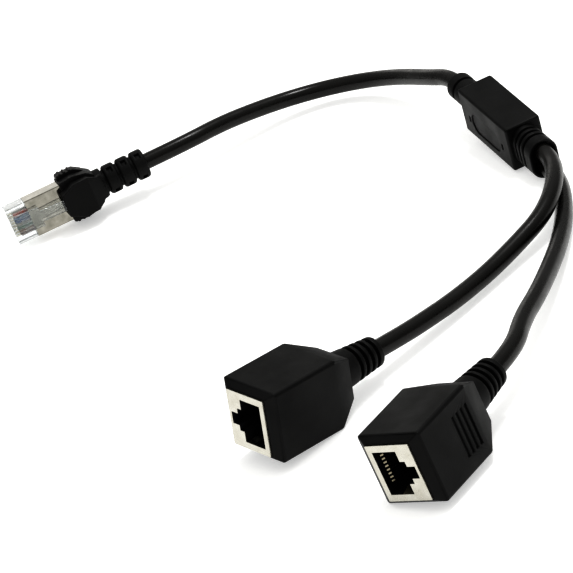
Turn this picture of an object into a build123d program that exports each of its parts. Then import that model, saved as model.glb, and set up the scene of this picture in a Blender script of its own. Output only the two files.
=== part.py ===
from build123d import *
import math
import os

# Network splitter lead, lying on a table: one plug, a junction block and two sockets.
# Millimetres, +Z up. Each piece is drawn along its own axis and then laid in its place:
# local Z runs rearwards along the axis, local X is the latch side, local Y is the width.

# Cable
CABLE_D = 5.0

# Modular plug, standard eight-way
PLUG_W = 11.68
PLUG_T = 6.6
PLUG_L = 21.5
PLUG_NOSE_L = 6.3
PLUG_EDGE_R = 0.4
WAYS = 8
PITCH = 1.02
SHEET_T = 0.25
BLADE_T = 0.35
BLADE_H = 2.1
BLADE_L = 4.2
BLADE_SLOT_W = 0.55
BLADE_SLOT_D = 2.6
BLADE_RECESS = 0.4
BLADE_START = 0.6
WIRE_D = 0.94
WIRE_L = 13.0
WIRE_START = 1.8
CHAMBER_CLEAR = 0.06
PLUG_REAR_POCKET_L = 4.0
LATCH_W = 6.1
LATCH_GRIP_W = 3.3
LATCH_T = 0.9
LATCH_ROOT = 0.9
LATCH_ROOT_L = 1.9
LATCH_SHOULDER = 9.3
LATCH_SHOULDER_RISE = 2.3
LATCH_TIP = 18.6
LATCH_TIP_RISE = 3.2
SHIELD_REAR_GAP = 0.5

# Moulded boot behind the plug
BOOT_FRONT = 18.0
BOOT_WALL = 0.6
BOOT_BULGE = 22.5
BOOT_BULGE_HALF_W = 6.9
BOOT_REAR = 29.0
BOOT_TAPER = 26.8
BOOT_TAPER_HALF_W = 6.1
BOOT_BACK_T = 4.5
BOOT_FACE_T = 4.3
HOOD_FRONT = 17.0
HOOD_HALF_W = 3.4
HOOD_WIDE = 21.5
HOOD_WIDE_HALF_W = 5.4
HOOD_REAR = 26.2
HOOD_END = 29.2
HOOD_END_HALF_W = 3.7
HOOD_TAIL = 30.6
HOOD_T = 8.3
HOOD_REAR_T = 7.9
HOOD_CAVITY_W = 4.4
HOOD_CAVITY_L = 2.6
HOOD_CAVITY_T = 7.1
BOOT_FILLET = 0.5
WING_FRONT = 18.2
WING_OUT = 7.8
WING_IN = 6.1
WING_NEAR = 0.2
WING_END = 24.2
WING_ROOT = 27.0
WING_RIDGES = 3
WING_RIDGE_PITCH = 1.6
WING_RIDGE_W = 0.8
WING_RIDGE_H = 0.3
NECK_L = 16.4
NECK_CORE_D = 7.2
NECK_RING_D = 9.2
NECK_RINGS = 3
NECK_RING_L = 4.0
NECK_SLOT_L = 0.7
NECK_CHAMFER = 0.5
NECK_WINDOW_TURN = 50.0
NECK_WINDOW_W = 1.8
NECK_WINDOW_L = 1.4
NECK_WINDOW_D = 0.8

# Junction block
BLOCK_L = 31.0
BLOCK_H = 14.0
BLOCK_T = 11.2
BLOCK_R = 0.8
BLOCK_END_CHAMFER = 0.45
COLLAR_L = 12.8
COLLAR_D = 8.2
COLLAR_NECK_D = 7.0
COLLAR_END_RING_L = 3.6
COLLAR_GROOVE_L = 1.0
OVAL_L = 11.0
OVAL_H = 12.2
OVAL_T = 8.8
OVAL_GROOVES = 3
OVAL_GROOVE_W = 0.9
OVAL_GROOVE_D = 0.7
OVAL_GROOVE_PITCH = 2.3
OVAL_FIRST_GROOVE = 1.6
OVAL_RECESS = 2.0
OVAL_RIM = 0.85
BRANCH_OFFSET = 2.65
LABEL_L = 18.0
LABEL_H = 6.6
LABEL_D = 0.35
LABEL_DROP = 1.0
NOTCH_SPAN = 20.8
NOTCH_L = 0.8
NOTCH_H = 1.8
NOTCH_D = 0.8
SPLICE_L = 19.0
SPLICE_H = 9.0
SPLICE_T = 6.0

# Jack inside each socket, standard eight-way opening
JACK_T = 13.2
JACK_W = 15.6
JACK_SHEET = 0.3
JACK_PROUD = 0.4
PORT_W = 11.9
PORT_T = 7.1
PORT_DEPTH = 12.6
PORT_FLOOR = 1.2
PORT_STEP_W = 6.2
PORT_STEP_T = 1.5
PORT_KEY_W = 3.3
PORT_KEY_T = 2.3
PORT_BACK_WALL = 1.9
HOLDER_L = 2.5
TONGUE_W = 3.0
TONGUE_L = 5.6
TONGUE_BOW = 0.7
TONGUE_BOW_AT = 2.8
TONGUE_OFFSET = 0.6
TONGUE_POCKET_D = 0.75
TONGUE_POCKET_CLEAR = 0.2
COMB_W = 8.9
COMB_BASE_T = 0.45
COMB_RIB_H = 0.7
COMB_RIB_W = 0.45
COMB_START = 2.1
SPRING_T = 0.4
SPRING_W = 0.45
SPRING_BEND = 3.0
SPRING_BEND_RISE = 0.62
SPRING_TIP = 9.4
SPRING_TIP_RISE = 3.3
HOLDER_CLEAR = 0.1

# Socket housing
SOCKET_T = 19.0
SOCKET_W = 19.4
SOCKET_L = 20.0
SOCKET_R = 1.0
BEVEL_L = 2.2
BEVEL_LIP = 0.35
TAPER_L = 8.2
TAPER_END = 11.4
RELIEF_L = 13.6
RELIEF_D = 10.7
RELIEF_END_D = 8.2
RELIEF_GROOVES = 4
RELIEF_GROOVE_W = 1.0
RELIEF_GROOVE_D = 0.8
RELIEF_GROOVE_PITCH = 2.2
RELIEF_LAST_LAND = 1.6
GRIP_COUNT = 4
GRIP_PITCH = 1.9
GRIP_W = 0.8
GRIP_D = 0.45
GRIP_H = 11.0
GRIP_REAR_MARGIN = 1.6

# Where the pieces lie; headings of the rear axes, pitch down at the rear, roll up at the left
PLUG_AT = (-117.72, -8.25)
PLUG_HEADING = 60.85
PLUG_PITCH = -2.5
PLUG_ROLL = -7.5
BLOCK_AT = (16.07, 72.08)
BLOCK_HEADING = -26.0
BLOCK_PITCH = 7.7
SOCKET_1_AT = (57.96, -82.85)
SOCKET_1_HEADING = 86.4
SOCKET_1_PITCH = 7.5
SOCKET_1_ROLL = 5.8
SOCKET_2_AT = (111.10, -87.08)
SOCKET_2_HEADING = 97.5
SOCKET_2_ROLL = -7.6

# Straight lead of each cable out of its gland
TRUNK_PLUG_LEAD = 14.0
TRUNK_BLOCK_LEAD = 6.5
BRANCH_1_LEAD = 6.5
BRANCH_2_LEAD = 8.0
SOCKET_LEAD = 10.5

# Points of each cable between its leads
TRUNK_POINTS = [
    (-86.7, 56.5, 9.6),
    (-83.6, 69.5, 7.9),
    (-79.0, 82.8, 5.8),
    (-69.8, 92.6, 5.0),
    (-56.5, 96.3, 6.2),
    (-41.5, 94.6, 8.8),
    (-25.6, 89.5, 12.2),
]
BRANCH_1_POINTS = [
    (52.9, 49.5, 8.6),
    (58.6, 40.0, 8.0),
    (61.1, 31.3, 6.4),
    (61.1, 20.7, 4.8),
    (61.4, 6.2, 3.8),
    (61.7, -8.2, 4.2),
    (61.4, -20.5, 5.2),
]
BRANCH_2_POINTS = [
    (54.0, 49.0, 2.7),
    (63.1, 37.8, 2.8),
    (72.3, 24.0, 3.8),
    (81.2, 8.9, 5.8),
    (89.3, -5.7, 8.0),
    (96.0, -19.8, 10.0),
]
RUN_SHARE = 0.45

LATCH_FACE = PLUG_T / 2
JACK_BACK = -JACK_T / 2 + JACK_SHEET
PORT_LOW = JACK_BACK + PORT_FLOOR
JACK_L = PORT_DEPTH + PORT_BACK_WALL + HOLDER_L
COLLAR_END = -BLOCK_L / 2 - COLLAR_L
OVAL_END = BLOCK_L / 2 + OVAL_L
OVAL_FLOOR = OVAL_END - OVAL_RECESS
SOCKET_REAR = BEVEL_L + SOCKET_L
TAPER_REAR = SOCKET_REAR + TAPER_L
RELIEF_REAR = TAPER_REAR + RELIEF_L
NECK_REAR = BOOT_REAR + NECK_L
RIDGE_START = WING_RIDGE_PITCH - WING_RIDGE_W / 2


def slab(size_x, size_y, z_from, z_to, x=0.0, y=0.0):
    """Box centred on x and y, running from one station to another along the axis."""
    return Pos(x, y, z_from) * Box(
        size_x, size_y, z_to - z_from, align=(Align.CENTER, Align.CENTER, Align.MIN)
    )


def rod(diameter, z_from, z_to, x=0.0, y=0.0):
    """Cylinder running from one station to another along the axis."""
    return Pos(x, y, z_from) * Cylinder(
        diameter / 2, z_to - z_from, align=(Align.CENTER, Align.CENTER, Align.MIN)
    )


def side_profile(points, width, y=0.0):
    """Profile in the X-Z plane, given as (x, z) points, extruded both ways along Y."""
    outline = Polyline(*[(px, 0, pz) for px, pz in points], close=True)
    return Pos(0, y, 0) * extrude(make_face(outline), width / 2, dir=(0, 1, 0), both=True)


def plan_profile(points, x_from, x_to):
    """Profile in the Y-Z plane, given as (y, z) points, extruded along X."""
    outline = Polyline(*[(x_from, py, pz) for py, pz in points], close=True)
    return extrude(make_face(outline), x_to - x_from, dir=(1, 0, 0))


def mirrored_plan(half_points, x_from, x_to):
    """Plan profile from its +Y half, listed front to rear."""
    left = [(-py, pz) for py, pz in reversed(half_points)]
    return plan_profile(half_points + left, x_from, x_to)


def along_axis_edges(shape):
    """Edges of a plain prism that run parallel to the axis."""
    return shape.edges().filter_by(Axis.Z)


def stadium(height, thickness, z_from, z_to):
    """Prism with a stadium section, long way along Y."""
    section = Pos(0, 0, z_from) * Rot(0, 0, 90) * SlotOverall(height, thickness)
    return extrude(section, z_to - z_from)


def way_offsets():
    """Distance of each way from the middle, across the width."""
    middle = (WAYS - 1) / 2
    return [(way - middle) * PITCH for way in range(WAYS)]


def plug_body():
    """Clear plug body with its latch, contact slots and wire chamber."""
    nose = slab(PLUG_T, PLUG_W, 0, PLUG_NOSE_L)
    nose = fillet(along_axis_edges(nose), PLUG_EDGE_R)
    inner_t = PLUG_T - 2 * SHEET_T
    inner_w = PLUG_W - 2 * SHEET_T
    tail = slab(inner_t, inner_w, PLUG_NOSE_L, PLUG_L)
    latch = side_profile(latch_points(LATCH_SHOULDER), LATCH_W)
    grip = side_profile(latch_points(LATCH_TIP), LATCH_GRIP_W)
    body = nose + tail + latch + grip
    chamber_t = WIRE_D + 2 * CHAMBER_CLEAR
    chamber_w = (WAYS - 1) * PITCH + chamber_t
    body -= slab(chamber_t, chamber_w, WIRE_START, WIRE_START + WIRE_L, chamber_x())
    pocket_start = PLUG_L - PLUG_REAR_POCKET_L
    body -= rod(CABLE_D - BOOT_WALL, pocket_start, PLUG_L)
    for y in way_offsets():
        depth = BLADE_SLOT_D
        body -= slab(depth, BLADE_SLOT_W, 0, BLADE_START + BLADE_L, depth / 2 - LATCH_FACE, y)
    return body


def latch_points(end):
    """Side outline of the latch finger from its root to a station along it."""
    shoulder_x = LATCH_FACE + LATCH_SHOULDER_RISE
    tip_x = LATCH_FACE + LATCH_TIP_RISE
    root_rear = LATCH_ROOT + LATCH_ROOT_L
    share = (end - LATCH_SHOULDER) / (LATCH_TIP - LATCH_SHOULDER)
    end_x = shoulder_x + (tip_x - shoulder_x) * share
    points = [(LATCH_FACE - LATCH_T, LATCH_ROOT), (LATCH_FACE + LATCH_T, LATCH_ROOT + LATCH_T)]
    points.append((shoulder_x, LATCH_SHOULDER))
    if end > LATCH_SHOULDER:
        points.append((end_x, end))
        points.append((end_x - LATCH_T, end))
    points.append((shoulder_x - LATCH_T, LATCH_SHOULDER))
    points.append((LATCH_FACE + SHEET_T, root_rear + LATCH_T))
    points.append((LATCH_FACE - LATCH_T, root_rear))
    return points


def chamber_x():
    """Height of the wire row, just over the inner ends of the contact blades."""
    blade_tip = BLADE_RECESS + BLADE_H - LATCH_FACE
    return blade_tip + WIRE_D / 2 + CHAMBER_CLEAR


def plug_contact(y):
    """Contact blade standing in its slot under one wire."""
    x = BLADE_RECESS + BLADE_H / 2 - LATCH_FACE
    blade = slab(BLADE_H, BLADE_T, BLADE_START, BLADE_START + BLADE_L, x, y)
    front = blade.edges().filter_by(Axis.Y).group_by(Axis.Z)[0].sort_by(Axis.X)[0]
    return fillet(front, BLADE_RECESS)


def plug_wire(y):
    """Insulated conductor lying in the wire chamber."""
    return rod(WIRE_D, WIRE_START, WIRE_START + WIRE_L, chamber_x(), y)


def plug_shield():
    """Folded sheet sleeve round the plug, under the latch and into the boot."""
    rear = PLUG_L - SHIELD_REAR_GAP
    sleeve = slab(PLUG_T, PLUG_W, PLUG_NOSE_L, rear)
    sleeve = fillet(along_axis_edges(sleeve), SHEET_T)
    return sleeve - slab(PLUG_T - 2 * SHEET_T, PLUG_W - 2 * SHEET_T, PLUG_NOSE_L, rear)


def plug_boot():
    """Moulded boot: body, latch hood, ridged side wings and slotted bend relief."""
    front_half = PLUG_W / 2 + BOOT_WALL
    neck_half = NECK_RING_D / 2
    plan = [
        (front_half, BOOT_FRONT),
        (BOOT_BULGE_HALF_W, BOOT_BULGE),
        (BOOT_TAPER_HALF_W, BOOT_TAPER),
        (neck_half, BOOT_REAR),
    ]
    body = mirrored_plan(plan, -BOOT_BACK_T, BOOT_FACE_T)
    hood_plan = [
        (HOOD_HALF_W, HOOD_FRONT),
        (HOOD_WIDE_HALF_W, HOOD_WIDE),
        (HOOD_WIDE_HALF_W, HOOD_REAR),
        (HOOD_END_HALF_W, HOOD_END),
        (HOOD_END_HALF_W, HOOD_TAIL),
    ]
    hood_side = [
        (0, HOOD_FRONT),
        (HOOD_T, HOOD_FRONT),
        (HOOD_REAR_T, HOOD_REAR),
        (neck_half, HOOD_TAIL),
        (0, HOOD_TAIL),
    ]
    hood = mirrored_plan(hood_plan, 0, HOOD_T) & side_profile(hood_side, 2 * BOOT_BULGE_HALF_W)
    hood = fillet(hood.edges().group_by(Axis.X)[-1], BOOT_FILLET)
    wings = Part()
    for side in (-1, 1):
        wings += wing(side)
    shell = body + hood + wings
    shell -= slab(PLUG_T, PLUG_W, 0, PLUG_L)
    cavity_from = HOOD_FRONT
    cavity_to = LATCH_TIP + HOOD_CAVITY_L
    cavity_t = HOOD_CAVITY_T - LATCH_FACE
    shell -= slab(cavity_t, HOOD_CAVITY_W, cavity_from, cavity_to, LATCH_FACE + cavity_t / 2)
    return shell + neck()


def wing(side):
    """Forward tab on one narrow side, with grip ridges on its outer face."""
    tip = (WING_OUT + WING_IN) / 2
    points = [
        (side * WING_IN, WING_FRONT + BOOT_FILLET),
        (side * tip, WING_FRONT),
        (side * WING_OUT, WING_FRONT + BOOT_FILLET),
        (side * WING_OUT, WING_END),
        (side * WING_IN, WING_ROOT),
    ]
    tab = plan_profile(points, -BOOT_BACK_T, WING_NEAR)
    ridge_x = (WING_NEAR - BOOT_BACK_T) / 2
    for ridge in range(WING_RIDGES):
        start = WING_FRONT + RIDGE_START + WING_RIDGE_PITCH * ridge
        height = 2 * WING_RIDGE_H
        width = WING_NEAR + BOOT_BACK_T
        tab += slab(width, height, start, start + WING_RIDGE_W, ridge_x, side * WING_OUT)
    return tab


def neck():
    """Bend relief of separate rings on a core, each ring with small windows."""
    relief = rod(NECK_CORE_D, BOOT_REAR, NECK_REAR)
    start = NECK_REAR - NECK_RINGS * NECK_RING_L - (NECK_RINGS - 1) * NECK_SLOT_L
    relief += rod(NECK_RING_D, BOOT_REAR, start - NECK_SLOT_L)
    window_at = NECK_RING_D / 2 - NECK_WINDOW_D / 2
    for ring in range(NECK_RINGS):
        ring_from = start + ring * (NECK_RING_L + NECK_SLOT_L)
        band = rod(NECK_RING_D, ring_from, ring_from + NECK_RING_L)
        band = chamfer(band.edges().filter_by(GeomType.CIRCLE), NECK_CHAMFER)
        window_from = ring_from + (NECK_RING_L - NECK_WINDOW_L) / 2
        window_to = window_from + NECK_WINDOW_L
        window = slab(NECK_WINDOW_D, NECK_WINDOW_W, window_from, window_to, window_at)
        for way in (-1, 1):
            band -= Rot(0, 0, way * NECK_WINDOW_TURN) * window
            band -= Rot(0, 0, 180 + way * NECK_WINDOW_TURN) * window
        relief += band
    return relief


def junction_cover():
    """Junction block with its round trunk collar and ribbed oval branch relief."""
    block = slab(BLOCK_T, BLOCK_H, -BLOCK_L / 2, BLOCK_L / 2)
    block = fillet(along_axis_edges(block), BLOCK_R)
    ends = block.faces().sort_by(Axis.Z)
    block = chamfer(ends[0].edges() + ends[-1].edges(), BLOCK_END_CHAMFER)
    collar = rod(COLLAR_NECK_D, COLLAR_END, 0)
    collar += rod(COLLAR_D, COLLAR_END, COLLAR_END + COLLAR_END_RING_L)
    second_ring = COLLAR_END + COLLAR_END_RING_L + COLLAR_GROOVE_L
    collar += rod(COLLAR_D, second_ring, 0)
    oval = stadium(OVAL_H, OVAL_T, 0, OVAL_END)
    for groove in range(OVAL_GROOVES):
        start = BLOCK_L / 2 + OVAL_FIRST_GROOVE + groove * OVAL_GROOVE_PITCH
        end = start + OVAL_GROOVE_W
        inner = stadium(OVAL_H - 2 * OVAL_GROOVE_D, OVAL_T - 2 * OVAL_GROOVE_D, start, end)
        oval -= stadium(OVAL_H, OVAL_T, start, end) - inner
    oval -= stadium(OVAL_H - 2 * OVAL_RIM, OVAL_T - 2 * OVAL_RIM, OVAL_FLOOR, OVAL_END)
    cover = block + collar + oval
    for side in (-1, 1):
        face = side * (BLOCK_T / 2 - LABEL_D)
        outline = Plane(origin=(face, -LABEL_DROP, 0), x_dir=(0, 0, 1), z_dir=(side, 0, 0))
        cover -= extrude(outline * SlotOverall(LABEL_L, LABEL_H), LABEL_D)
        for end in (-1, 1):
            z_from = end * NOTCH_SPAN / 2 - NOTCH_L / 2
            x = side * (BLOCK_T / 2 - NOTCH_D / 2)
            cover -= slab(NOTCH_D, NOTCH_H, z_from, z_from + NOTCH_L, x, -LABEL_DROP)
    return cover - splice_core()


def splice_core():
    """Inner moulding round the joined conductors, sealed in the block."""
    return slab(SPLICE_T, SPLICE_H, -SPLICE_L / 2, SPLICE_L / 2)


def port_cut(z_from, z_to):
    """Jack opening: main window, latch step and latch key."""
    window_x = PORT_LOW + PORT_T / 2
    step_x = PORT_LOW + PORT_T + PORT_STEP_T / 2
    key_x = PORT_LOW + PORT_T + PORT_STEP_T + PORT_KEY_T / 2
    cut = slab(PORT_T, PORT_W, z_from, z_to, window_x)
    cut += slab(PORT_STEP_T, PORT_STEP_W, z_from, z_to, step_x)
    return cut + slab(PORT_KEY_T, PORT_KEY_W, z_from, z_to, key_x)


def tongue_x():
    """Height of the spring tongues on the port's side walls."""
    return PORT_LOW + PORT_T - TONGUE_OFFSET - TONGUE_W / 2


def jack_shield():
    """Folded sheet shell round the jack, with a port opening and two spring tongues."""
    shell = slab(JACK_T, JACK_W, 0, JACK_L)
    shell = fillet(along_axis_edges(shell), JACK_SHEET)
    shell -= slab(JACK_T - 2 * JACK_SHEET, JACK_W - 2 * JACK_SHEET, JACK_SHEET, JACK_L)
    shell -= port_cut(0, JACK_SHEET)
    wall = PORT_W / 2
    for side in (-1, 1):
        points = [
            (side * wall, 0),
            (side * (wall - TONGUE_BOW), TONGUE_BOW_AT),
            (side * (wall + JACK_SHEET), TONGUE_L),
            (side * (wall + 2 * JACK_SHEET), TONGUE_L),
            (side * (wall - TONGUE_BOW + JACK_SHEET), TONGUE_BOW_AT),
            (side * (wall + JACK_SHEET), JACK_SHEET),
            (side * (wall + JACK_SHEET), 0),
        ]
        half = TONGUE_W / 2
        shell += plan_profile(points, tongue_x() - half, tongue_x() + half)
    return shell


def jack_insert():
    """Moulded jack body inside the shell, open at the port and at the contact comb."""
    inner_t = JACK_T - 2 * JACK_SHEET
    inner_w = JACK_W - 2 * JACK_SHEET
    body = slab(inner_t, inner_w, JACK_SHEET, PORT_DEPTH + PORT_BACK_WALL)
    body -= port_cut(JACK_SHEET, PORT_DEPTH)
    pocket_w = TONGUE_W + 2 * TONGUE_POCKET_CLEAR
    pocket_to = TONGUE_L + TONGUE_POCKET_CLEAR
    for side in (-1, 1):
        y = side * (PORT_W / 2 + TONGUE_POCKET_D / 2)
        body -= slab(pocket_w, TONGUE_POCKET_D, JACK_SHEET, pocket_to, tongue_x(), y)
    return body - slab(PORT_FLOOR, COMB_W, COMB_START, PORT_DEPTH, JACK_BACK + PORT_FLOOR / 2)


def contact_comb():
    """Comb that keeps the jack's spring contacts apart."""
    base = slab(COMB_BASE_T, COMB_W, COMB_START, PORT_DEPTH, JACK_BACK + COMB_BASE_T / 2)
    rib_x = JACK_BACK + COMB_BASE_T + COMB_RIB_H / 2
    for gap in range(WAYS + 1):
        y = (gap - WAYS / 2) * PITCH
        base += slab(COMB_RIB_H, COMB_RIB_W, COMB_START, PORT_DEPTH, rib_x, y)
    return base


def jack_contact(y):
    """Spring contact: a flat run along the comb, a front bend and a sloping free arm."""
    low = JACK_BACK + COMB_BASE_T
    bend = low + SPRING_BEND_RISE
    tip = low + SPRING_TIP_RISE
    points = [
        (low, PORT_DEPTH),
        (low, SPRING_BEND - SPRING_T),
        (low + SPRING_T, SPRING_BEND - 2 * SPRING_T),
        (bend + SPRING_T, SPRING_BEND),
        (tip, SPRING_TIP),
        (tip - SPRING_T, SPRING_TIP + SPRING_T),
        (bend, SPRING_BEND + SPRING_T),
        (low + SPRING_T, SPRING_BEND),
        (low + SPRING_T, PORT_DEPTH),
    ]
    return side_profile(points, SPRING_W, y)


def wire_holder():
    """Block behind the jack body that holds the conductors to the contacts."""
    inner_t = JACK_T - 2 * JACK_SHEET - HOLDER_CLEAR
    inner_w = JACK_W - 2 * JACK_SHEET - HOLDER_CLEAR
    return slab(inner_t, inner_w, PORT_DEPTH + PORT_BACK_WALL, JACK_L)


def housing_outline(jack_size, size):
    """Outline of the housing across one pair of sides, as (across, along) points."""
    face = jack_size / 2 + BEVEL_LIP
    half = size / 2
    outline = [(face, JACK_PROUD), (half, BEVEL_L), (half, SOCKET_REAR), (TAPER_END / 2, TAPER_REAR)]
    return outline + [(-across, along) for across, along in reversed(outline)]


def socket_housing():
    """Moulded socket housing: bevelled mouth, grip grooves, taper and ribbed relief."""
    section = Pos(0, 0, JACK_PROUD) * RectangleRounded(SOCKET_T, SOCKET_W, SOCKET_R)
    body = extrude(section, TAPER_REAR - JACK_PROUD)
    body &= side_profile(housing_outline(JACK_T, SOCKET_T), SOCKET_W)
    body &= plan_profile(housing_outline(JACK_W, SOCKET_W), -SOCKET_T / 2, SOCKET_T / 2)
    relief = Pos(0, 0, TAPER_REAR) * Cone(
        RELIEF_D / 2, RELIEF_END_D / 2, RELIEF_L, align=(Align.CENTER, Align.CENTER, Align.MIN)
    )
    for groove in range(RELIEF_GROOVES):
        end = RELIEF_REAR - RELIEF_LAST_LAND - groove * RELIEF_GROOVE_PITCH
        start = end - RELIEF_GROOVE_W
        root = RELIEF_END_D - 2 * RELIEF_GROOVE_D + RELIEF_GROOVE_D * groove / 2
        relief -= rod(RELIEF_D, start, end) - rod(root, start, end)
    housing = body + relief - slab(JACK_T, JACK_W, 0, JACK_L)
    for groove in range(GRIP_COUNT):
        z_from = SOCKET_REAR - GRIP_REAR_MARGIN - GRIP_W - groove * GRIP_PITCH
        x = SOCKET_T / 2 - GRIP_D / 2
        housing -= slab(GRIP_D, GRIP_H, z_from, z_from + GRIP_W, x)
    return housing


def place(at, height, heading, pitch=0.0, roll=0.0, latch_sign=1):
    """Frame of a laid piece: Z rearwards at the heading, pitched down and rolled about Z."""
    rear = Vector(1, 0, 0).rotate(Axis.Y, pitch).rotate(Axis.Z, heading)
    left = Vector(0, 1, 0).rotate(Axis.X, roll).rotate(Axis.Y, pitch).rotate(Axis.Z, heading)
    return Plane(origin=(at[0], at[1], height), x_dir=left * latch_sign, z_dir=rear)


def rest_height(half_up, half_across, edge_r, station=0.0, pitch=0.0, roll=0.0):
    """Height of the axis when the lowest long edge touches the table at a station."""
    drop = math.radians(pitch)
    turn = math.radians(abs(roll))
    flat_up = (half_up - edge_r) * math.cos(turn)
    flat_across = (half_across - edge_r) * math.sin(turn)
    return (flat_up + flat_across + edge_r) * math.cos(drop) + station * math.sin(drop)


def socket_height(station=0.0, pitch=0.0, roll=0.0):
    """Height of a socket's axis when it lies on one long edge."""
    return rest_height(SOCKET_W / 2, SOCKET_T / 2, SOCKET_R, station, pitch, roll)


PLUG_Z = rest_height(
    WING_OUT + WING_RIDGE_H, BOOT_BACK_T, 0, WING_FRONT + RIDGE_START, PLUG_PITCH, PLUG_ROLL
)
BLOCK_Z = rest_height(OVAL_H / 2, OVAL_T / 2, OVAL_T / 2, OVAL_END, BLOCK_PITCH)
SOCKET_1_Z = socket_height(SOCKET_REAR, SOCKET_1_PITCH, SOCKET_1_ROLL)
SOCKET_2_Z = socket_height(roll=SOCKET_2_ROLL)
PLUG_FRAME = place(PLUG_AT, PLUG_Z, PLUG_HEADING, PLUG_PITCH, PLUG_ROLL, latch_sign=-1)
BLOCK_FRAME = place(BLOCK_AT, BLOCK_Z, BLOCK_HEADING, BLOCK_PITCH)
SOCKET_1_FRAME = place(SOCKET_1_AT, SOCKET_1_Z, SOCKET_1_HEADING, SOCKET_1_PITCH, SOCKET_1_ROLL)
SOCKET_2_FRAME = place(
    SOCKET_2_AT, SOCKET_2_Z, SOCKET_2_HEADING, roll=SOCKET_2_ROLL, latch_sign=-1
)


def cable(name, start_frame, start, lead, points, end_frame, end, end_lead):
    """Round cable from one gland face to another, as straight runs and tangent arcs."""
    first = start_frame.from_local_coords(Vector(*start))
    second = start_frame.from_local_coords(Vector(*lead))
    last = end_frame.from_local_coords(Vector(*end))
    before = end_frame.from_local_coords(Vector(*end_lead))
    route = [first, second] + [Vector(*p) for p in points] + [before, last]
    radii = []
    for a, b, c in zip(route, route[1:], route[2:]):
        half_turn = math.radians((b - a).get_angle(c - b)) / 2
        shorter = min((b - a).length, (c - b).length)
        radii.append(RUN_SHARE * shorter / math.tan(half_turn))
    path = FilletPolyline(*route, radius=radii)
    section = Plane(origin=first, z_dir=second - first) * Circle(CABLE_D / 2)
    tube = sweep(section, path=path)
    ideal = path.length * math.pi * CABLE_D ** 2 / 4
    print(name, "length", round(path.length, 1), "radii", [round(r, 1) for r in radii])
    print(name, "volume over section times length", round(tube.volume / ideal, 4))
    return tube


def main():
    nodes = {
        "plug_body": PLUG_FRAME.location * plug_body(),
        "plug_shield": PLUG_FRAME.location * plug_shield(),
        "plug_boot": PLUG_FRAME.location * plug_boot(),
        "junction_cover": BLOCK_FRAME.location * junction_cover(),
        "splice_core": BLOCK_FRAME.location * splice_core(),
    }
    for way, y in enumerate(way_offsets(), start=1):
        nodes[f"plug_contact_{way}"] = PLUG_FRAME.location * plug_contact(y)
        nodes[f"plug_wire_{way}"] = PLUG_FRAME.location * plug_wire(y)
    sockets = {"socket_1": SOCKET_1_FRAME, "socket_2": SOCKET_2_FRAME}
    for name, frame in sockets.items():
        nodes[f"{name}_housing"] = frame.location * socket_housing()
        nodes[f"{name}_shield"] = frame.location * jack_shield()
        nodes[f"{name}_insert"] = frame.location * jack_insert()
        nodes[f"{name}_comb"] = frame.location * contact_comb()
        nodes[f"{name}_wire_holder"] = frame.location * wire_holder()
        for way, y in enumerate(way_offsets(), start=1):
            nodes[f"{name}_contact_{way}"] = frame.location * jack_contact(y)
    trunk_in = COLLAR_END - TRUNK_BLOCK_LEAD
    nodes["trunk_cable"] = cable(
        "trunk_cable",
        PLUG_FRAME, (0, 0, NECK_REAR), (0, 0, NECK_REAR + TRUNK_PLUG_LEAD),
        TRUNK_POINTS,
        BLOCK_FRAME, (0, 0, COLLAR_END), (0, 0, trunk_in),
    )
    nodes["branch_cable_1"] = cable(
        "branch_cable_1",
        BLOCK_FRAME, (0, BRANCH_OFFSET, OVAL_FLOOR), (0, BRANCH_OFFSET, OVAL_FLOOR + BRANCH_1_LEAD),
        BRANCH_1_POINTS,
        SOCKET_1_FRAME, (0, 0, RELIEF_REAR), (0, 0, RELIEF_REAR + SOCKET_LEAD),
    )
    nodes["branch_cable_2"] = cable(
        "branch_cable_2",
        BLOCK_FRAME, (0, -BRANCH_OFFSET, OVAL_FLOOR), (0, -BRANCH_OFFSET, OVAL_FLOOR + BRANCH_2_LEAD),
        BRANCH_2_POINTS,
        SOCKET_2_FRAME, (0, 0, RELIEF_REAR), (0, 0, RELIEF_REAR + SOCKET_LEAD),
    )
    os.makedirs("parts", exist_ok=True)
    for name, shape in nodes.items():
        export_step(shape, f"parts/{name}.step")
    return nodes


if __name__ == "__main__":
    main()
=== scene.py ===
import math

import bmesh
import bpy
from bpy.props import FloatProperty, FloatVectorProperty, IntProperty, PointerProperty
from mathutils import Matrix, Vector


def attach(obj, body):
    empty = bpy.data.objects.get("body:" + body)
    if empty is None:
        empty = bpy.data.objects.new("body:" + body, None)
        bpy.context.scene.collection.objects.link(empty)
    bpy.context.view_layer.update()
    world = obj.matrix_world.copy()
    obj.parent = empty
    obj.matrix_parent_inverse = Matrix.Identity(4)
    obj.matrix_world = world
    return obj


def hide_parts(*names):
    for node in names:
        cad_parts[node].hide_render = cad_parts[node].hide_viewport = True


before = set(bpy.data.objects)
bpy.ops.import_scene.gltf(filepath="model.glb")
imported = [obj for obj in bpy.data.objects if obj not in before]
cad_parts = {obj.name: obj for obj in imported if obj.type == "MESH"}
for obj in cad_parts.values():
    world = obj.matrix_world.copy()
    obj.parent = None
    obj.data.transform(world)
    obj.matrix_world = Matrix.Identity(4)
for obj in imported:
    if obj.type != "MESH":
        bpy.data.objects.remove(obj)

bl_info = {
    "name": "Network splitter lead",
    "version": (1, 0, 0),
    "blender": (4, 5, 0),
    "location": "View3D > Sidebar > Splitter lead",
    "description": "Dresses a moulded network splitter lead: plug, block, cables, two sockets",
    "category": "Object",
}

BODY = "root"
WAYS = range(1, 9)
SOCKETS = ("socket_1", "socket_2")

# The plug's rearward, upward and latch-side directions, as the CAD lays it
PLUG_REAR = (0.4866, 0.8725, 0.0436)
PLUG_RISE = (-0.1351, 0.0258, 0.9905)
PLUG_LATCH = (0.8631, -0.4879, 0.1304)

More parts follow.
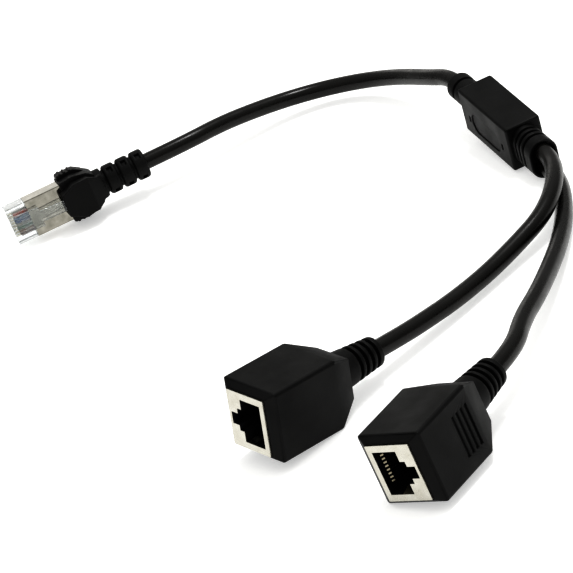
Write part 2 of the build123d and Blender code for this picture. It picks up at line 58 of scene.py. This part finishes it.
# Camera that the photograph's view needs: its place in metres and its own directions
CAMERA_PLACE = (0.5747, -0.4755, 0.3530)
CAMERA_RIGHT = (0.7043, 0.6433, -0.3001)
CAMERA_UP = (-0.1053, 0.5128, 0.8520)
CAMERA_BACK = (0.7020, -0.5685, 0.4289)
SENSOR_WIDTH_MM = 36.0
FARTHEST_SEEN = 20.0

# Softboxes: place and size in metres
OVERHEAD_PLACE = (0.1, 0.4, 1.2)
OVERHEAD_SIZE = (0.34, 0.24)
BACK_PLACE = (-2.1, 1.5, 0.6)
BACK_SIZE = (1.2, 0.7)

# Rounding of the mouldings' edges
MERGE_MM = 0.002
FLAT_WITHIN = math.radians(0.6)
ROUNDED_FROM = math.radians(32.0)
CREASED_FROM = math.radians(38)
EDGE_SEGMENTS = 2
LARGE_FACE_WEIGHT = 90

# Route of each cable, the same points as its tube follows, in metres
TRUNK_ROUTE = (
    (-0.09563, 0.03136, 0.00974),
    (-0.08881, 0.04358, 0.01035),
    (-0.08670, 0.05650, 0.00960),
    (-0.08360, 0.06950, 0.00790),
    (-0.07900, 0.08280, 0.00580),
    (-0.06980, 0.09260, 0.00500),
    (-0.05650, 0.09630, 0.00620),
    (-0.04150, 0.09460, 0.00880),
    (-0.02560, 0.08950, 0.01220),
    (-0.01493, 0.08720, 0.01426),
    (-0.00914, 0.08437, 0.01339),
)
BRANCH_1_ROUTE = (
    (0.03821, 0.06128, 0.00894),
    (0.04400, 0.05846, 0.00807),
    (0.05290, 0.04950, 0.00860),
    (0.05860, 0.04000, 0.00800),
    (0.06110, 0.03130, 0.00640),
    (0.06110, 0.02070, 0.00480),
    (0.06140, 0.00620, 0.00380),
    (0.06170, -0.00820, 0.00420),
    (0.06140, -0.02050, 0.00520),
    (0.06135, -0.02892, 0.00621),
    (0.06070, -0.03931, 0.00758),
)
BRANCH_2_ROUTE = (
    (0.03757, 0.06159, 0.00369),
    (0.04470, 0.05812, 0.00261),
    (0.05400, 0.04900, 0.00270),
    (0.06310, 0.03780, 0.00280),
    (0.07230, 0.02400, 0.00380),
    (0.08120, 0.00890, 0.00580),
    (0.08930, -0.00570, 0.00800),
    (0.09600, -0.01980, 0.01000),
    (0.10399, -0.03305, 0.01075),
    (0.10536, -0.04346, 0.01075),
)

# Each cable's jacket, the CAD node it stands for, its route and its length in metres
CABLES = (
    ("trunk_jacket", "trunk_cable", TRUNK_ROUTE, 0.1312),
    ("branch_jacket_1", "branch_cable_1", BRANCH_1_ROUTE, 0.1102),
    ("branch_jacket_2", "branch_cable_2", BRANCH_2_ROUTE, 0.1280),
)
RINGS_PER_POINT = 14

# Each black moulding's CAD node and the name of its softened copy
MOULDINGS = (
    ("plug_boot", "boot_moulding"),
    ("junction_cover", "junction_moulding"),
    ("socket_1_housing", "housing_moulding_1"),
    ("socket_2_housing", "housing_moulding_2"),
)

# Wires in the clear nose: the odd ones are white with a stripe of the colour given
WIRE_COLOURS = {
    1: "#f3b8ac", 2: "#e8705c", 3: "#a9bfd6", 4: "#5d80b8",
    5: "#c3d4e8", 6: "#93b8a4", 7: "#d0b8aa", 8: "#a07a6c",
}
# White of the striped wires, and also the painted glints mottled onto the plain wires
WIRE_WHITE_AND_GLINT = "#e9e4dc"


def linear(hex_value):
    """An sRGB hex colour as linear red, green, blue and one."""
    parts = [int(hex_value[i:i + 2], 16) / 255 for i in (1, 3, 5)]
    lit = [c / 12.92 if c <= 0.04045 else ((c + 0.055) / 1.055) ** 2.4 for c in parts]
    return tuple(lit) + (1.0,)


def mm(value):
    """Millimetres in metres."""
    return value / 1000


def add(tree, kind, inputs, **settings):
    """Adds one node, sets its options, and sets or links its inputs."""
    made = tree.nodes.new(kind)
    for name, value in settings.items():
        setattr(made, name, value)
    for name, value in inputs.items():
        if isinstance(value, bpy.types.NodeSocket):
            tree.links.new(value, made.inputs[name])
        else:
            made.inputs[name].default_value = value
    return made


def new_material(name):
    """An empty node material, and the object's own coordinates in metres."""
    material = bpy.data.materials.new(name)
    material.use_nodes = True
    tree = material.node_tree
    tree.nodes.clear()
    place = add(tree, "ShaderNodeTexCoord", {}).outputs["Object"]
    return material, tree, place


def finish_material(tree, inputs):
    """Makes the shader from its inputs and sends it to the material's output."""
    shader = add(tree, "ShaderNodeBsdfPrincipled", inputs)
    add(tree, "ShaderNodeOutputMaterial", {"Surface": shader.outputs["BSDF"]})


def blotches(tree, place, size_mm, low=0.0, high=1.0, detail=2.0):
    """Soft random value between two limits, with blotches of a given size."""
    noise = add(tree, "ShaderNodeTexNoise", {
        "Vector": place, "Scale": 1 / mm(size_mm), "Detail": detail})
    spread = add(tree, "ShaderNodeMapRange", {
        "Value": noise.outputs["Fac"], "From Min": 0.3, "From Max": 0.7,
        "To Min": low, "To Max": high})
    return spread.outputs["Result"]


def mottled(tree, place, size_mm, first, second, most=1.0):
    """Colour that drifts between two others, in blotches of a given size."""
    drift = blotches(tree, place, size_mm, high=most)
    colour = add(tree, "ShaderNodeMix", {0: drift, 6: first, 7: second}, data_type="RGBA")
    return colour.outputs[2]


def relief(tree, place, size_mm, detail, depth_mm, strength):
    """Shallow random relief: bumps of a given size and depth."""
    noise = add(tree, "ShaderNodeTexNoise", {
        "Vector": place, "Scale": 1 / mm(size_mm), "Detail": detail})
    raised = add(tree, "ShaderNodeBump", {
        "Height": noise.outputs["Fac"], "Distance": mm(depth_mm), "Strength": strength})
    return raised.outputs["Normal"]


def along_plug(tree, place, across_mm, along_mm):
    """Coordinates that are stretched along the plug, in patches of a given size."""
    steps = []
    for way, size_mm in ((PLUG_RISE, across_mm), (PLUG_REAR, along_mm)):
        reach = add(tree, "ShaderNodeVectorMath", {0: place, 1: way}, operation="DOT_PRODUCT")
        step = add(tree, "ShaderNodeMath", {
            0: reach.outputs["Value"], 1: mm(size_mm)}, operation="DIVIDE")
        steps.append(step.outputs["Value"])
    return add(tree, "ShaderNodeCombineXYZ", {"X": steps[0], "Y": steps[1]}).outputs["Vector"]


def moulded_pvc(settings):
    """Black PVC overmould, spark-eroded mould: a fine satin grain that greys the highlights."""
    material, tree, place = new_material("moulded_pvc_black")
    dark = tuple(settings.mould_colour) + (1.0,)
    finish_material(tree, {
        "Base Color": mottled(tree, place, 14.0, dark, linear("#252525")),
        "Roughness": blotches(tree, place, 9.0, low=0.44, high=0.58, detail=4.0),
        "IOR": 1.46, "Specular IOR Level": 0.32,
        # Eroded grain is about 0.05 mm; drawn at 0.35 mm so that it shows.
        "Normal": relief(tree, place, 0.35, detail=3.0, depth_mm=0.05, strength=0.5)})
    return material


def extruded_pvc(settings):
    """Black PVC jacket, extruded: smoother and glossier than the mouldings, with faint waves."""
    material, tree, place = new_material("extruded_pvc_jacket")
    dark = tuple(settings.jacket_colour) + (1.0,)
    finish_material(tree, {
        "Base Color": mottled(tree, place, 20.0, dark, linear("#201f1d")),
        "Roughness": blotches(tree, place, 6.0, low=0.22, high=0.34, detail=3.0),
        "IOR": 1.48,
        "Normal": relief(tree, place, 2.2, detail=2.0, depth_mm=0.05, strength=0.3)})
    return material


def clear_polycarbonate(settings):
    """Clear polycarbonate, injection moulded: see-through, with faint flow lines.

    The plug's narrow sides face up and down. Their grey tint and lower clearness are
    painted light: a fixed milkiness that stands in for how thick clear plastic looks
    when it is seen edge on.
    """
    material, tree, place = new_material("moulded_clear_polycarbonate")
    normal = add(tree, "ShaderNodeNewGeometry", {}).outputs["True Normal"]
    rising = add(tree, "ShaderNodeVectorMath", {0: normal, 1: PLUG_RISE}, operation="DOT_PRODUCT")
    narrow = add(tree, "ShaderNodeMath", {0: rising.outputs["Value"]}, operation="ABSOLUTE")
    # Painted light: faces along the plug's rise are tinted grey and made less clear, standing in
    # for their edge-on look
    clear = add(tree, "ShaderNodeMapRange", {
        "Value": narrow.outputs["Value"], "From Min": 0.8, "From Max": 0.95,
        "To Min": 1.0, "To Max": settings.painted_side_clearness}).outputs["Result"]
    edge_on_painted_tint = add(tree, "ShaderNodeMix", {
        0: clear, 6: linear("#cfd3d4"), 7: linear("#eceff0")}, data_type="RGBA")
    finish_material(tree, {
        "Base Color": edge_on_painted_tint.outputs[2],
        "Roughness": blotches(tree, place, 3.0, low=0.01, high=0.05),
        "IOR": 1.585, "Transmission Weight": clear, "Alpha": settings.nose_density,
        "Normal": relief(tree, place, 1.6, detail=1.0, depth_mm=0.04, strength=0.2)})
    return material


def nickel_plate(name, bright, dull, low, high):
    """Nickel on folded sheet: bright and slightly warm.

    Its rolling marks blur what it reflects.
    """
    material, tree, place = new_material(name)
    rolled = add(tree, "ShaderNodeMapping", {"Vector": place, "Scale": (1.0, 1.0, 9.0)})
    finish_material(tree, {
        "Base Color": mottled(tree, place, 2.5, linear(bright), linear(dull)),
        "Metallic": 1.0, "Roughness": blotches(tree, place, 1.7, low, high),
        "Normal": relief(
            tree, rolled.outputs["Vector"], 1.8, detail=3.0, depth_mm=0.02, strength=0.25)})
    return material


def gold_flash(name, bright, dull):
    """Thin gold flash on phosphor bronze, stamped: pale warm metal with slightly duller spots."""
    material, tree, place = new_material(name)
    finish_material(tree, {
        "Base Color": mottled(tree, place, 0.9, linear(bright), linear(dull)),
        "Metallic": 1.0, "Roughness": blotches(tree, place, 0.7, low=0.16, high=0.3)})
    return material


def moulded_polyester(name, hex_value, low, high):
    """Filled polyester of the jack parts, injection moulded: dull, with a fine grain."""
    material, tree, place = new_material(name)
    finish_material(tree, {
        "Base Color": mottled(tree, place, 3.0, linear(hex_value), linear("#303134")),
        "Roughness": blotches(tree, place, 4.0, low, high), "IOR": 1.55,
        # Mould grain is about 0.05 mm; drawn at 0.3 mm so that it shows.
        "Normal": relief(tree, place, 0.3, detail=2.0, depth_mm=0.03, strength=0.4)})
    return material


def extruded_polyethylene(way):
    """Polyethylene wire insulation, extruded: waxy gloss, plain, or white with a stripe; the
    plain ones carry painted white glints.
    """
    material, tree, place = new_material(f"extruded_insulation_{way}")
    plain, white = linear(WIRE_COLOURS[way]), linear(WIRE_WHITE_AND_GLINT)
    striped = way % 2 == 1
    if striped:
        streaks = along_plug(tree, place, across_mm=0.9, along_mm=22.0)
        band = add(tree, "ShaderNodeTexNoise", {"Vector": streaks, "Scale": 1.0, "Detail": 0.0})
        edge = add(tree, "ShaderNodeMapRange", {
            "Value": band.outputs["Fac"], "From Min": 0.47, "From Max": 0.51,
            "To Min": 0.0, "To Max": 1.0})
        colour = add(tree, "ShaderNodeMix", {
            0: edge.outputs["Result"], 6: white, 7: plain}, data_type="RGBA").outputs[2]
    else:
        # Painted glints: plain wires are mottled toward white, up to 0.45, standing in for light
        # caught through the clear nose
        colour = mottled(tree, place, 0.9, plain, white, most=0.45)
    finish_material(tree, {
        "Base Color": colour, "IOR": 1.51,
        "Roughness": blotches(tree, place, 1.5, low=0.28, high=0.4)})
    return material


def matt_opal_acrylic(settings):
    """Opal acrylic of a light table, cast and matted: pale and soft, lit a little from below."""
    material, tree, place = new_material("matted_opal_acrylic")
    finish_material(tree, {
        "Base Color": tuple(settings.floor_colour) + (1.0,),
        "Roughness": blotches(tree, place, 30.0, low=0.85, high=0.95),
        "Specular IOR Level": 0.1,
        "Emission Color": linear("#ffffff"), "Emission Strength": settings.table_light})
    return material


def paint(piece, material):
    """Gives every slot of a carried-over piece its material."""
    if not piece.material_slots:
        piece.data.materials.append(material)
    for place in piece.material_slots:
        place.material = material


def softened(node, name, radius_mm):
    """Copy of a CAD moulding with its outer edges rounded, as a mould leaves them."""
    shape = bmesh.new()
    shape.from_mesh(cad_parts[node].data)
    bmesh.ops.remove_doubles(shape, verts=shape.verts, dist=mm(MERGE_MM))
    bmesh.ops.dissolve_limit(
        shape, angle_limit=FLAT_WITHIN, verts=shape.verts, edges=shape.edges, delimit=set())
    outer = [
        edge for edge in shape.edges
        if len(edge.link_faces) == 2 and edge.calc_face_angle_signed(0.0) > ROUNDED_FROM]
    bmesh.ops.bevel(
        shape, geom=outer, offset=mm(radius_mm), offset_type="OFFSET", segments=EDGE_SEGMENTS,
        profile=0.5, affect="EDGES", clamp_overlap=False, loop_slide=True, material=-1)
    bmesh.ops.triangulate(shape, faces=[face for face in shape.faces if len(face.verts) > 4])
    for face in shape.faces:
        face.smooth = True
    for edge in shape.edges:
        if len(edge.link_faces) == 2 and edge.calc_face_angle(0.0) > CREASED_FROM:
            edge.smooth = False
    data = bpy.data.meshes.new(name)
    shape.to_mesh(data)
    shape.free()
    piece = bpy.data.objects.new(name, data)
    bpy.context.scene.collection.objects.link(piece)
    # Broad faces keep their own shading, and only the rounded edges turn
    level = piece.modifiers.new("level_faces", "WEIGHTED_NORMAL")
    level.mode = "FACE_AREA"
    level.weight = LARGE_FACE_WEIGHT
    level.keep_sharp = True
    return piece


def lift_off(piece, node, way, gap_mm):
    """Moves the faces that touch a CAD piece's outer face a hair away, to leave air between."""
    out = Vector(way)
    face = max(out.dot(vertex.co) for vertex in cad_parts[node].data.vertices)
    for vertex in piece.data.vertices:
        if abs(out.dot(vertex.co) - face) < mm(gap_mm):
            vertex.co += out * mm(gap_mm)


def seat(piece, material, node):
    """Paints a new piece, lets it ride on the body and stand for its CAD node."""
    piece.data.materials.clear()
    piece.data.materials.append(material)
    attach(piece, BODY)
    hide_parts(node)


def studio_room(settings):
    """Surroundings: a white ceiling above walls that stay darker towards the floor."""
    world = bpy.data.worlds.new("studio_room")
    world.use_nodes = True
    tree = world.node_tree
    way = add(tree, "ShaderNodeTexCoord", {}).outputs["Generated"]
    height = add(tree, "ShaderNodeSeparateXYZ", {"Vector": way}).outputs["Z"]
    glow = add(tree, "ShaderNodeMapRange", {
        "Value": height, "From Min": 0.25, "From Max": 0.85,
        "To Min": settings.wall_light, "To Max": settings.ceiling_light})
    background = tree.nodes["Background"]
    background.inputs["Color"].default_value = linear("#f2f2f0")
    tree.links.new(glow.outputs["Result"], background.inputs["Strength"])
    return world


def softbox(name, place, size, power, hex_value):
    """Rectangular area light that is aimed at the middle of the floor."""
    data = bpy.data.lights.new(name, "AREA")
    data.shape = "RECTANGLE"
    data.size, data.size_y = size
    data.energy = power
    data.color = linear(hex_value)[:3]
    lamp = bpy.data.objects.new(name, data)
    lamp.location = place
    lamp.rotation_mode = "QUATERNION"
    lamp.rotation_quaternion = (-Vector(place)).to_track_quat("-Z", "Y")
    bpy.context.scene.collection.objects.link(lamp)


class StageSettings(bpy.types.PropertyGroup):
    floor_colour: FloatVectorProperty(
        name="Floor colour", description="Colour of the light table",
        subtype="COLOR", size=3, min=0.0, max=1.0, default=linear("#f4f4f3")[:3])
    table_light: FloatProperty(
        name="Table light", description="Light that the table gives from below",
        default=0.3, min=0.0)
    floor_size: FloatProperty(
        name="Floor size", description="Side of the square floor",
        unit="LENGTH", default=6.0, min=1.0)
    key_power: FloatProperty(
        name="Key power", description="Power of the overhead softbox",
        default=3.0, min=0.0)
    back_power: FloatProperty(
        name="Back power", description="Power of the softbox behind the lead",
        default=1.6, min=0.0)
    ceiling_light: FloatProperty(
        name="Ceiling light", description="Brightness of the room overhead",
        default=0.6, min=0.0)
    wall_light: FloatProperty(
        name="Wall light", description="Brightness of the room near the floor",
        default=0.3, min=0.0)
    focal_length: FloatProperty(
        name="Focal length", description="Lens of the camera in millimetres",
        default=186.6, min=20.0)


class MouldSettings(bpy.types.PropertyGroup):
    mould_colour: FloatVectorProperty(
        name="Moulding colour", description="Colour of the boot, block and housings",
        subtype="COLOR", size=3, min=0.0, max=1.0, default=linear("#1d1d1d")[:3])
    edge_radius: FloatProperty(
        name="Edge radius", description="Rounding of the moulded edges in millimetres",
        default=0.3, min=0.05)


class CableSettings(bpy.types.PropertyGroup):
    jacket_colour: FloatVectorProperty(
        name="Jacket colour", description="Colour of the cable jacket",
        subtype="COLOR", size=3, min=0.0, max=1.0, default=linear("#181716")[:3])
    diameter: FloatProperty(
        name="Cable diameter", description="Outside diameter of each cable",
        unit="LENGTH", default=0.005, min=0.002, max=0.01)
    roundness: IntProperty(
        name="Cable roundness", description="Bevel resolution of the cables",
        default=7, min=2, max=16)


class PlugSettings(bpy.types.PropertyGroup):
    nose_density: FloatProperty(
        name="Nose density", description="How much of the clear nose shows",
        default=0.9, min=0.1, max=1.0)
    painted_side_clearness: FloatProperty(
        name="Side clearness", description="How clear the narrow sides of the nose are",
        default=0.45, min=0.0, max=1.0)
    air_gap: FloatProperty(
        name="Air gap", description="Air between latch root and shield in millimetres",
        default=0.03, min=0.01)
    nose_edge: FloatProperty(
        name="Nose edge", description="Rounding of the clear nose in millimetres",
        default=0.12, min=0.02)


class LEAD_OT_set_stage(bpy.types.Operator):
    """Makes the camera, the pale floor and the soft studio light"""
    bl_idname = "lead.set_stage"
    bl_label = "Set the stage"

    def execute(self, context):
        settings = context.scene.lead_stage
        data = bpy.data.cameras.new("lead_camera")
        data.sensor_width = SENSOR_WIDTH_MM
        data.lens = settings.focal_length
        data.clip_end = FARTHEST_SEEN
        camera = bpy.data.objects.new("lead_camera", data)
        context.scene.collection.objects.link(camera)
        turn = Matrix((CAMERA_RIGHT, CAMERA_UP, CAMERA_BACK)).transposed()
        camera.matrix_world = Matrix.Translation(Vector(CAMERA_PLACE)) @ turn.to_4x4()
        context.scene.camera = camera
        bpy.ops.mesh.primitive_plane_add(size=settings.floor_size, location=(0, 0, 0))
        floor = context.object
        floor.name = "light_table"
        paint(floor, matt_opal_acrylic(settings))
        context.scene.world = studio_room(settings)
        softbox("overhead_softbox", OVERHEAD_PLACE, OVERHEAD_SIZE, settings.key_power, "#ffffff")
        softbox("back_softbox", BACK_PLACE, BACK_SIZE, settings.back_power, "#fdfbf7")
        context.scene.view_settings.view_transform = "Standard"
        context.scene.view_settings.look = "Very High Contrast"
        return {"FINISHED"}


class LEAD_OT_lay_cables(bpy.types.Operator):
    """Lays the three cables along their routes"""
    bl_idname = "lead.lay_cables"
    bl_label = "Lay the cables"

    def execute(self, context):
        settings = context.scene.lead_cable
        jacket = extruded_pvc(settings)
        for name, node, route, length in CABLES:
            data = bpy.data.curves.new(name, "CURVE")
            data.dimensions = "3D"
            data.resolution_u = RINGS_PER_POINT
            data.bevel_depth = settings.diameter / 2
            data.bevel_resolution = settings.roundness
            spline = data.splines.new("NURBS")
            spline.points.add(len(route) - 1)
            for point, place in zip(spline.points, route):
                point.co = place + (1.0,)
            spline.order_u = 3
            spline.use_endpoint_u = True
            piece = bpy.data.objects.new(name, data)
            context.scene.collection.objects.link(piece)
            seat(piece, jacket, node)
        return {"FINISHED"}


class LEAD_OT_dress_mouldings(bpy.types.Operator):
    """Rounds and paints the boot, the junction block and the socket housings"""
    bl_idname = "lead.dress_mouldings"
    bl_label = "Dress the mouldings"

    def execute(self, context):
        settings = context.scene.lead_mould
        black = moulded_pvc(settings)
        for node, name in MOULDINGS:
            seat(softened(node, name, settings.edge_radius), black, node)
        core = moulded_polyester("moulded_polyester_core", "#c9c6bb", low=0.45, high=0.6)
        paint(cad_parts["splice_core"], core)
        return {"FINISHED"}


class LEAD_OT_dress_plug(bpy.types.Operator):
    """Paints the plug's clear body, shield, contacts and wires"""
    bl_idname = "lead.dress_plug"
    bl_label = "Dress the plug"

    def execute(self, context):
        settings = context.scene.lead_plug
        nose = softened("plug_body", "clear_nose", settings.nose_edge)
        lift_off(nose, "plug_shield", PLUG_LATCH, settings.air_gap)
        seat(nose, clear_polycarbonate(settings), "plug_body")
        sheet = nickel_plate(
            "nickel_plated_plug_sheet", "#a6a39b", "#8b8981", low=0.04, high=0.12)
        paint(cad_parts["plug_shield"], sheet)
        gold = gold_flash("gold_flashed_blades", "#ece6d4", "#cfc7b0")
        for way in WAYS:
            paint(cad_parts[f"plug_contact_{way}"], gold)
            paint(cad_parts[f"plug_wire_{way}"], extruded_polyethylene(way))
        return {"FINISHED"}


class LEAD_OT_dress_sockets(bpy.types.Operator):
    """Paints the jack shells, inserts, combs and contacts of both sockets"""
    bl_idname = "lead.dress_sockets"
    bl_label = "Dress the sockets"

    def execute(self, context):
        sheet = nickel_plate(
            "nickel_plated_jack_sheet", "#d0cec6", "#c6c3b9", low=0.22, high=0.36)
        black = moulded_polyester("moulded_jack_polyester", "#161719", low=0.4, high=0.55)
        pale = moulded_polyester("moulded_polyester_holder", "#c4c0b4", low=0.45, high=0.6)
        gold = gold_flash("gold_flashed_springs", "#a8a291", "#8f8875")
        for name in SOCKETS:
            paint(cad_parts[f"{name}_shield"], sheet)
            paint(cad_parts[f"{name}_insert"], black)
            paint(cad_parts[f"{name}_comb"], black)
            paint(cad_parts[f"{name}_wire_holder"], pale)
            for way in WAYS:
                paint(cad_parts[f"{name}_contact_{way}"], gold)
        return {"FINISHED"}


class LEAD_PT_sidebar(bpy.types.Panel):
    bl_label = "Splitter lead"
    bl_idname = "LEAD_PT_sidebar"
    bl_space_type = "VIEW_3D"
    bl_region_type = "UI"
    bl_category = "Splitter lead"

    def draw(self, context):
        scene = context.scene
        groups = (
            (scene.lead_stage, "lead.set_stage"),
            (scene.lead_cable, "lead.lay_cables"),
            (scene.lead_mould, "lead.dress_mouldings"),
            (scene.lead_plug, "lead.dress_plug"),
        )
        for settings, operator in groups:
            box = self.layout.box()
            for name in type(settings).__annotations__:
                box.prop(settings, name)
            box.operator(operator)
        self.layout.operator("lead.dress_sockets")


CLASSES = (
    StageSettings, MouldSettings, CableSettings, PlugSettings,
    LEAD_OT_set_stage, LEAD_OT_lay_cables, LEAD_OT_dress_mouldings, LEAD_OT_dress_plug,
    LEAD_OT_dress_sockets, LEAD_PT_sidebar,
)


def register():
    for item in CLASSES:
        bpy.utils.register_class(item)
    bpy.types.Scene.lead_stage = PointerProperty(type=StageSettings)
    bpy.types.Scene.lead_mould = PointerProperty(type=MouldSettings)
    bpy.types.Scene.lead_cable = PointerProperty(type=CableSettings)
    bpy.types.Scene.lead_plug = PointerProperty(type=PlugSettings)


def unregister():
    for name in ("lead_stage", "lead_mould", "lead_cable", "lead_plug"):
        delattr(bpy.types.Scene, name)
    for item in reversed(CLASSES):
        bpy.utils.unregister_class(item)


def main():
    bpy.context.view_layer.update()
    register()
    bpy.ops.lead.set_stage()
    bpy.ops.lead.lay_cables()
    bpy.ops.lead.dress_mouldings()
    bpy.ops.lead.dress_plug()
    bpy.ops.lead.dress_sockets()
    bpy.context.view_layer.update()


if __name__ == "__main__":
    main()
